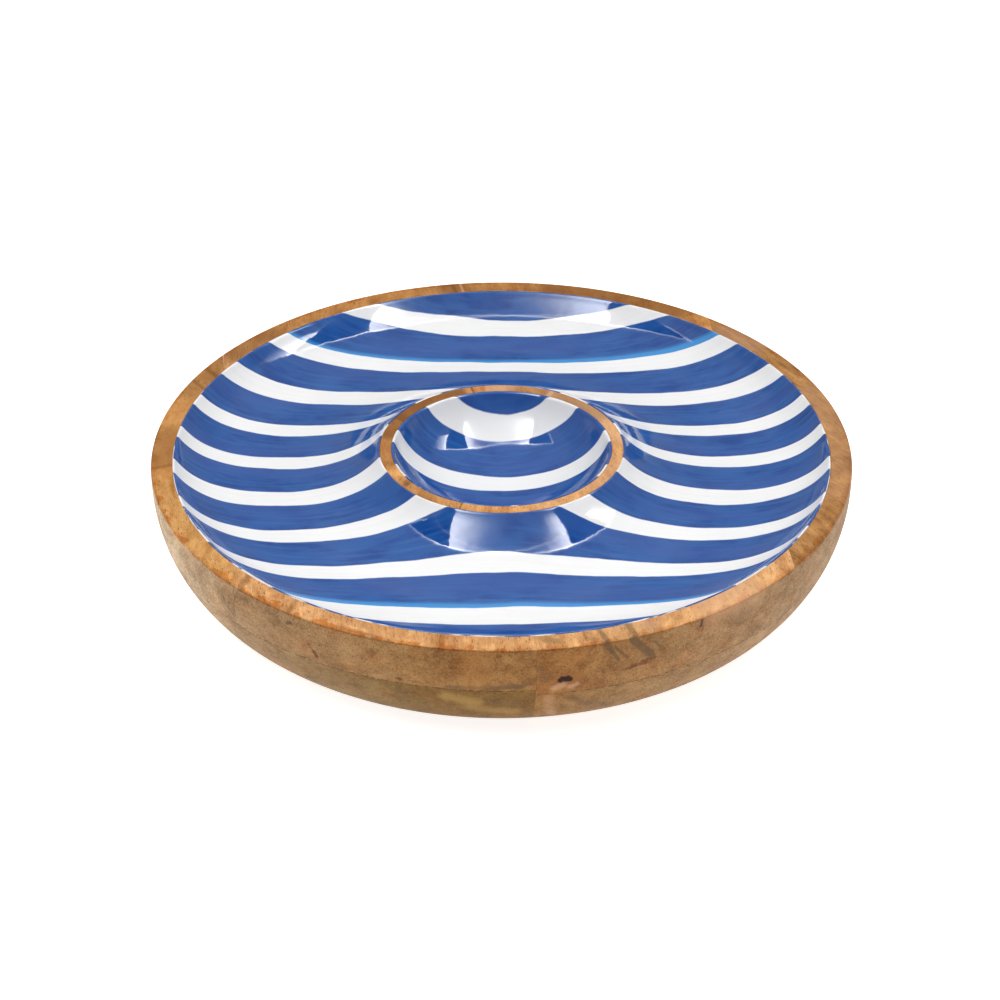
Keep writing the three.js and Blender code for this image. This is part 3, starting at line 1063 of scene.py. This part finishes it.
def make_floor():
    """A wide floor that glows a little, so that it stays white round the shadow."""
    mesh = bmesh.new()
    cells = FLOOR_CELLS
    bmesh.ops.create_grid(mesh, x_segments=cells, y_segments=cells, size=FLOOR_HALF)
    data = bpy.data.meshes.new("studio_floor")
    mesh.to_mesh(data)
    mesh.free()
    floor = bpy.data.objects.new("studio_floor", data)
    bpy.context.scene.collection.objects.link(floor)
    material, graph = new_material("pale_floor")
    grain = graph.noise(graph.place(), **FLOOR_GRAIN)
    colour = graph.mix(grain, (FLOOR_TONE,) * 3, (FLOOR_TONE + FLOOR_CONTRAST,) * 3)
    finish = {
        "Specular_IOR_Level": FLOOR_SHINE,
        "Emission_Color": (1, 1, 1, 1),
        "Emission_Strength": FLOOR_GLOW,
    }
    graph.surface(colour, FLOOR_ROUGHNESS, grain, FLOOR_RELIEF_MM, **finish)
    floor.data.materials.append(material)


def within(graph, value, low, high, soft):
    """One inside a range of values and zero outside it, with soft ends."""
    rise = graph.remap(value, low - soft, low + soft)
    fall = graph.remap(value, high - soft, high + soft, 1, 0)
    return graph.math("MULTIPLY", rise, fall)


def faded(graph, distance, length):
    """One at zero distance, falling away exponentially to both sides."""
    return graph.math("EXPONENT", graph.math("DIVIDE", graph.math("ABSOLUTE", distance), -length))


def rotated(graph, x, y, degrees):
    """The point's coordinates along and across a direction turned from +X."""
    cos = math.cos(math.radians(degrees))
    sin = math.sin(math.radians(degrees))
    along = graph.math("MULTIPLY_ADD", x, cos, graph.math("MULTIPLY", y, sin))
    across = graph.math("MULTIPLY_ADD", x, -sin, graph.math("MULTIPLY", y, cos))
    return along, across


def inner_glow(graph, outward, back, opening):
    """The bright haze along an opening's inner side, wider towards the front."""
    spread, growth = opening["fade"]
    spread = graph.math("MULTIPLY_ADD", back, -growth, spread)
    share = graph.math("DIVIDE", outward, spread)
    falling = graph.math("MULTIPLY", graph.math("MULTIPLY", share, share), -1)
    haze = graph.math("EXPONENT", falling)
    front_end = graph.remap(back, *INNER_END)
    alongside = graph.math("MULTIPLY", front_end, graph.remap(back, *INNER_START))
    return graph.math("MULTIPLY", haze, graph.math("MULTIPLY", alongside, INNER_GLOW))


def outer_glow(graph, past_width, back, opening):
    """The bright haze along an opening's outer side."""
    strength, fade, length = opening["outer"]
    haze = graph.math("MULTIPLY", faded(graph, past_width, fade), strength)
    return graph.math("MULTIPLY", haze, within(graph, back, -length, OUTER_START, OUTER_START))


def far_line(graph, along_far, back, opening):
    """The thin bright line along an opening's far edge."""
    past_far = graph.math("SUBTRACT", along_far, opening["width"])
    line = faded(graph, back, opening["edge"])
    line = graph.math("MULTIPLY", line, graph.remap(past_far, *FAR_END))
    return graph.math("MULTIPLY", line, faded(graph, along_far, FAR_FADE))


def add_opening(graph, x, y, glow, opening):
    """The sheet's glow with one opening cut out and its bright surroundings added."""
    out_x = graph.math("MULTIPLY_ADD", x, opening["side"], -opening["corner"][0])
    out_y = graph.math("SUBTRACT", y, opening["corner"][1])
    along_far, back = rotated(graph, out_x, out_y, opening["turn"])
    outward, _ = rotated(graph, out_x, out_y, opening["lean"])
    width = graph.math("MULTIPLY_ADD", back, opening["taper"], opening["width"])
    past_width = graph.math("SUBTRACT", outward, width)

    beyond = graph.remap(past_width, -INNER_BLUR, INNER_BLUR)
    inner = inner_glow(graph, outward, back, opening)
    inner = graph.math("MULTIPLY", inner, graph.math("SUBTRACT", 1, beyond))
    outer = outer_glow(graph, past_width, back, opening)
    glow = graph.math("ADD", glow, graph.math("ADD", inner, outer))
    line = far_line(graph, along_far, back, opening)
    glow = graph.math("MULTIPLY_ADD", line, FAR_GLOW, glow)

    past_inner = graph.remap(outward, -OPENING_EDGE, OPENING_EDGE)
    before_outer = graph.remap(past_width, OPENING_EDGE, -OPENING_EDGE)
    inside = graph.math("MULTIPLY", past_inner, before_outer)
    in_length = within(graph, back, -OPENING_LENGTH, 0, OPENING_EDGE)
    inside = graph.math("MULTIPLY", inside, in_length)
    return graph.math("MULTIPLY", glow, graph.math("SUBTRACT", 1, inside))


def make_sheet():
    """The glowing sheet overhead, with its two openings. With an energy of four times its
    area, its emission strength is its brightness."""
    data = bpy.data.lights.new("light_sheet", "AREA")
    data.shape = "SQUARE"
    data.size = SHEET_SIZE
    data.energy = 4 * SHEET_SIZE ** 2
    data.use_nodes = True
    graph = Graph(data.node_tree)
    position = graph.add("ShaderNodeNewGeometry").outputs["Position"]
    spot = graph.vector("SCALE", position, scale=1 / MM)
    x, y, _ = graph.split(spot)
    reach = graph.vector("LENGTH", graph.vector("MULTIPLY", spot, (1, 1, 0)))
    zenith = faded(graph, reach, ZENITH_FADE)
    glow = graph.math("MULTIPLY_ADD", zenith, ZENITH_GLOW, SHEET_GLOW)
    for opening in OPENINGS:
        glow = add_opening(graph, x, y, glow, opening)
    glow = graph.math("MULTIPLY", glow, graph.remap(reach, *SHEET_EDGE, 1, 0))
    emission = graph.add("ShaderNodeEmission")
    graph.feed(emission.inputs["Strength"], glow)
    output = graph.add("ShaderNodeOutputLight")
    graph.feed(output.inputs["Surface"], emission.outputs[0])
    sheet = bpy.data.objects.new("light_sheet", data)
    sheet.location = (0, 0, HEIGHT + SHEET_HEIGHT)
    bpy.context.scene.collection.objects.link(sheet)


def make_room():
    """The dim room round the sheet: darker behind the camera and dark at the top."""
    world = bpy.data.worlds.new("dim_room")
    world.use_nodes = True
    bpy.context.scene.world = world
    graph = Graph(world.node_tree)
    direction = graph.add("ShaderNodeTexCoord").outputs["Generated"]
    _, y, z = graph.split(graph.vector("NORMALIZE", direction))
    room = graph.remap(y, *ROOM_TURN, ROOM_BEHIND, ROOM_GLOW)
    room = graph.math("MULTIPLY", room, graph.remap(z, *ROOM_TOP, 1, 0))
    background = graph.add("ShaderNodeBackground")
    graph.feed(background.inputs["Strength"], room)
    output = graph.add("ShaderNodeOutputWorld")
    graph.feed(output.inputs["Surface"], background.outputs[0])


def make_camera():
    """A long lens in front of the server, looking down on it."""
    data = bpy.data.cameras.new("camera")
    data.lens = CAMERA_LENS
    data.sensor_width = SENSOR_WIDTH
    camera = bpy.data.objects.new("camera", data)
    camera.location = (
        CAMERA_OFFSET,
        -CAMERA_DISTANCE * math.cos(CAMERA_ELEVATION),
        HEIGHT + CAMERA_DISTANCE * math.sin(CAMERA_ELEVATION),
    )
    camera.rotation_euler = (math.pi / 2 - CAMERA_PITCH, 0, 0)
    bpy.context.scene.collection.objects.link(camera)
    bpy.context.scene.camera = camera
    bpy.context.scene.view_settings.view_transform = "Standard"


make_camera()
make_floor()
make_sheet()
make_room()
make_boards()
make_linings()
